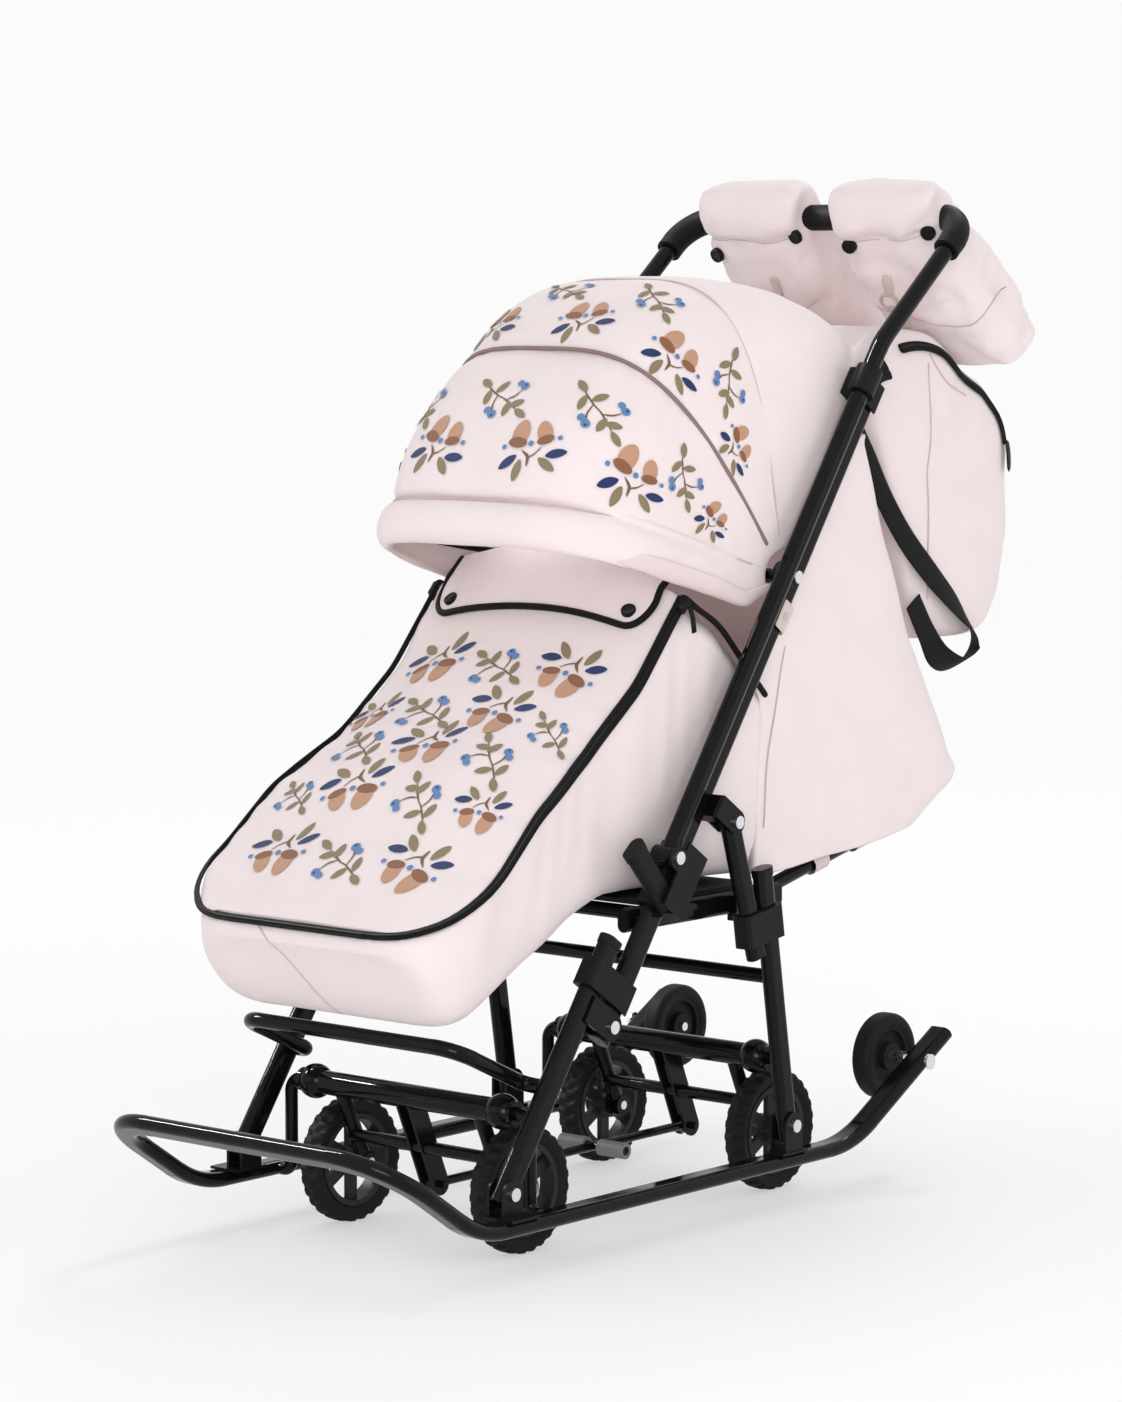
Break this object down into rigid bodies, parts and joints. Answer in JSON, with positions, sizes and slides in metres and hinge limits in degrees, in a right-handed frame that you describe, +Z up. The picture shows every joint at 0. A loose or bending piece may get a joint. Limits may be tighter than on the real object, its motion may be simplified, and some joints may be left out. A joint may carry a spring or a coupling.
{
  "type": "sled stroller",
  "caption": "Child's winter sled stroller: folding tube frame on runners, lift-down transport wheels, reversible handle with muffs, padded seat with leg cover, canopy and bag",
  "frame": {"origin": "on the ground under the middle of the whole part, with the transport wheels down", "axes": "+Z up, +X across to the right as seen from the front, the child faces -Y and the handle is at +Y"},
  "size_m": [0.438, 1.1737, 1.1229],
  "materials": {
    "painted_tube": "gloss powder coat",
    "black_plate": "satin powder coat",
    "black_plastic": "fine grained moulding",
    "zinc": "bright zinc plate",
    "tyre": "matt rubber with tread blocks",
    "rim_plastic": "dark moulding with a grey inner ring",
    "grey_plastic": "smooth",
    "foam": "matt foam",
    "pale_cloth": "padded woven shell cloth with a small sprig print",
    "webbing": "woven webbing"
  },
  "bodies": {
    "base": {"runner_left": "painted_tube", "runner_right": "painted_tube", "foot_brackets": "black_plate", "front_pivot_rods": "painted_tube", "rear_pivot_rods": "painted_tube", "base_bolts": "zinc"},
    "transit_left": {"transit_wheel_left": "tyre"},
    "transit_right": {"transit_wheel_right": "tyre"},
    "front_gear": {"front_wheel_frame": "painted_tube", "front_axles": "zinc"},
    "rear_gear": {"rear_wheel_frame": "painted_tube", "rear_axles": "zinc"},
    "wheel_front_left": {"rim_front_left": "rim_plastic", "tyre_front_left": "tyre"},
    "wheel_front_right": {"rim_front_right": "rim_plastic", "tyre_front_right": "tyre"},
    "wheel_rear_left": {"rim_rear_left": "rim_plastic", "tyre_rear_left": "tyre"},
    "wheel_rear_right": {"rim_rear_right": "rim_plastic", "tyre_rear_right": "tyre"},
    "link": {"link_bar": "painted_tube", "pedal_grips": "grey_plastic"},
    "front_legs": {"front_leg_left": "painted_tube", "front_leg_right": "painted_tube", "front_leg_caps": "black_plastic", "front_bow": "painted_tube", "knee_pins": "zinc"},
    "knee_slide_left": {"knee_lock_left": "black_plastic"},
    "knee_slide_right": {"knee_lock_right": "black_plastic"},
    "upper_frame": {"upper_tube_left": "painted_tube", "upper_tube_right": "painted_tube", "handle_hinges": "black_plastic", "canopy_hinges": "black_plastic", "frame_bolts": "zinc", "canopy_fabric": "pale_cloth", "back_shell": "pale_cloth", "bag": "pale_cloth", "bag_straps": "webbing"},
    "rear_legs": {"rear_leg_left": "painted_tube", "rear_leg_right": "painted_tube", "rear_cross_tube": "painted_tube", "seat_hooks": "black_plastic"},
    "handle": {"handle_tube_left": "painted_tube", "handle_tube_right": "painted_tube", "handle_grip": "foam", "muff_left": "pale_cloth", "muff_right": "pale_cloth"},
    "handle_slide_left": {"handle_lock_left": "black_plastic"},
    "handle_slide_right": {"handle_lock_right": "black_plastic"},
    "seat": {"seat_rails": "painted_tube", "seat_cross_tubes": "painted_tube", "seat_board": "black_plastic", "seat_pad": "pale_cloth", "leg_tub": "pale_cloth", "leg_cover": "pale_cloth", "cover_flap": "pale_cloth"},
    "backrest": {"backrest_frame": "painted_tube", "backrest_pad": "pale_cloth"},
    "canopy_front": {"canopy_front_bow": "painted_tube"},
    "canopy_mid": {"canopy_mid_bow": "painted_tube"}
  },
  "joints": [
    {"name": "wheel_lift", "type": "hinge", "parent": "base", "child": "front_gear", "pos_m": [0, -0.32139, 0.157], "axis": [-1, 0, 0], "range_deg": [0, 95]},
    {"name": "wheel_lift_rear", "type": "hinge", "parent": "base", "child": "rear_gear", "pos_m": [0, 0.10261, 0.157], "axis": [-1, 0, 0], "range_deg": [0, 95]},
    {"name": "link_pivot", "type": "hinge", "parent": "front_gear", "child": "link", "pos_m": [0, -0.27939, 0.057], "axis": [-1, 0, 0], "range_deg": [-95, 0]},
    {"name": "spin_front_left", "type": "hinge", "parent": "front_gear", "child": "wheel_front_left", "pos_m": [-0.121, -0.28139, 0.068], "axis": [1, 0, 0], "continuous": true},
    {"name": "spin_rear_left", "type": "hinge", "parent": "rear_gear", "child": "wheel_rear_left", "pos_m": [-0.121, 0.14261, 0.068], "axis": [1, 0, 0], "continuous": true},
    {"name": "spin_transit_left", "type": "hinge", "parent": "base", "child": "transit_left", "pos_m": [-0.153, 0.3136, 0.1311], "axis": [1, 0, 0], "continuous": true},
    {"name": "spin_front_right", "type": "hinge", "parent": "front_gear", "child": "wheel_front_right", "pos_m": [0.121, -0.28139, 0.068], "axis": [1, 0, 0], "continuous": true},
    {"name": "spin_rear_right", "type": "hinge", "parent": "rear_gear", "child": "wheel_rear_right", "pos_m": [0.121, 0.14261, 0.068], "axis": [1, 0, 0], "continuous": true},
    {"name": "spin_transit_right", "type": "hinge", "parent": "base", "child": "transit_right", "pos_m": [0.153, 0.3136, 0.1311], "axis": [1, 0, 0], "continuous": true},
    {"name": "frame_fold", "type": "hinge", "parent": "base", "child": "front_legs", "pos_m": [0, -0.37839, 0.088], "axis": [1, 0, 0], "range_deg": [0, 90], "deforming": ["bag", "bag_straps"]},
    {"name": "upper_fold", "type": "hinge", "parent": "front_legs", "child": "upper_frame", "pos_m": [0, -0.22139, 0.23899], "axis": [1, 0, 0], "range_deg": [-137, 0]},
    {"name": "rear_fold", "type": "hinge", "parent": "base", "child": "rear_legs", "pos_m": [0, 0.06861, 0.094], "axis": [1, 0, 0], "range_deg": [0, 49]},
    {"name": "seat_level", "type": "hinge", "parent": "upper_frame", "child": "seat", "pos_m": [0, -0.1498, 0.342], "axis": [1, 0, 0], "range_deg": [0, 47]},
    {"name": "knee_lock_left", "type": "slide", "parent": "front_legs", "child": "knee_slide_left", "axis": [0, 0.5707, 0.8211], "range_m": [0, 0.018]},
    {"name": "knee_lock_right", "type": "slide", "parent": "front_legs", "child": "knee_slide_right", "axis": [0, 0.5707, 0.8211], "range_m": [0, 0.018]},
    {"name": "handle_flip", "type": "hinge", "parent": "upper_frame", "child": "handle", "pos_m": [0, -0.1352, 0.40925], "axis": [1, 0, 0], "range_deg": [0, 75.8]},
    {"name": "handle_lock_left", "type": "slide", "parent": "handle", "child": "handle_slide_left", "axis": [0, 0.5707, 0.8211], "range_m": [0, 0.022]},
    {"name": "handle_lock_right", "type": "slide", "parent": "handle", "child": "handle_slide_right", "axis": [0, 0.5707, 0.8211], "range_m": [0, 0.022]},
    {"name": "recline", "type": "hinge", "parent": "seat", "child": "backrest", "pos_m": [0, 0.07861, 0.342], "axis": [1, 0, 0], "range_deg": [0, 57], "deforming": ["back_shell"]},
    {"name": "canopy", "type": "hinge", "parent": "upper_frame", "child": "canopy_front", "pos_m": [0, 0.0925, 0.69062], "axis": [-1, 0, 0], "range_deg": [0, 95], "deforming": ["canopy_fabric"]},
    {"name": "canopy_middle", "type": "hinge", "parent": "upper_frame", "child": "canopy_mid", "pos_m": [0, 0.0925, 0.69062], "axis": [-1, 0, 0], "range_deg": [0, 59]}
  ],
  "couplings": [
    {"joint": "wheel_lift_rear", "follows": "wheel_lift", "ratio": 1},
    {"joint": "link_pivot", "follows": "wheel_lift", "ratio": -1},
    {"joint": "upper_fold", "follows": "frame_fold", "ratio": -1.5189},
    {"joint": "rear_fold", "follows": "frame_fold", "ratio": 0.54111},
    {"joint": "seat_level", "follows": "frame_fold", "ratio": 0.51889},
    {"joint": "canopy_middle", "follows": "canopy", "ratio": 0.6191}
  ]
}
